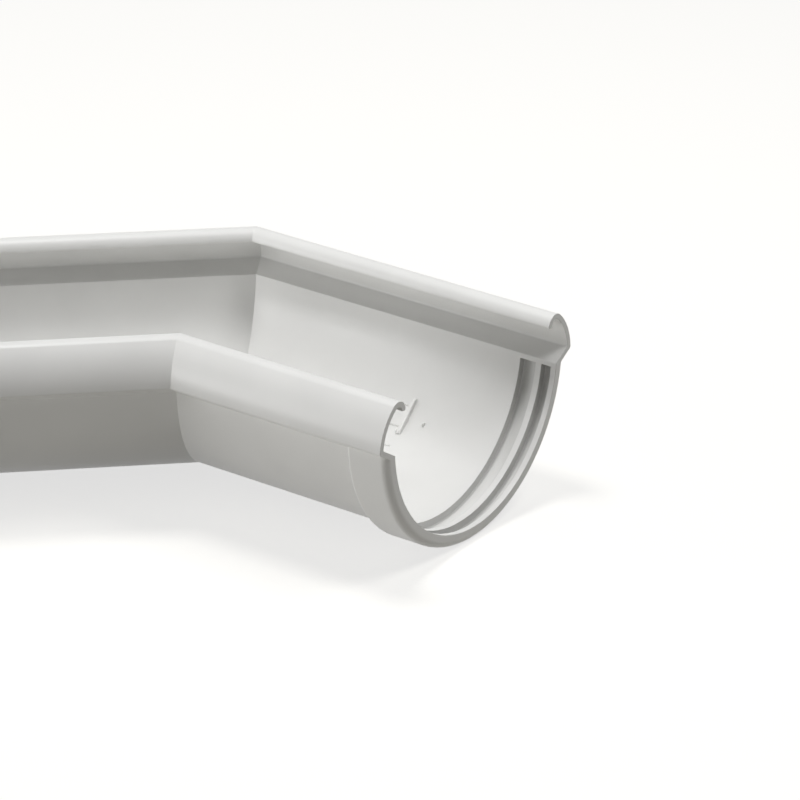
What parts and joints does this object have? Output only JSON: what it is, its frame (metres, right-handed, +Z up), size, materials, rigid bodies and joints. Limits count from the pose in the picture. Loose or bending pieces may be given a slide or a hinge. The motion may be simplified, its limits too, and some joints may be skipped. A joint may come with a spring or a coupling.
{
  "type": "gutter angle",
  "caption": "Corner fitting for half-round rain gutter: two channel arms meet at a 135 degree mitre and end in collared mouths with seal grooves.",
  "frame": {"origin": "under the middle of the fitting's bounding box, at the level of the floor that the two collars stand on", "axes": "+X across the fitting from one mouth to the other, +Y to the outer side of the bend, +Z up out of the open channel. The two arms are mirror images about the YZ plane"},
  "size_m": [0.3212, 0.2018, 0.0882],
  "materials": {
    "pvc": "white rigid PVC with a soft sheen"
  },
  "bodies": {
    "root": {"gutter_angle": "pvc"}
  },
  "joints": []
}
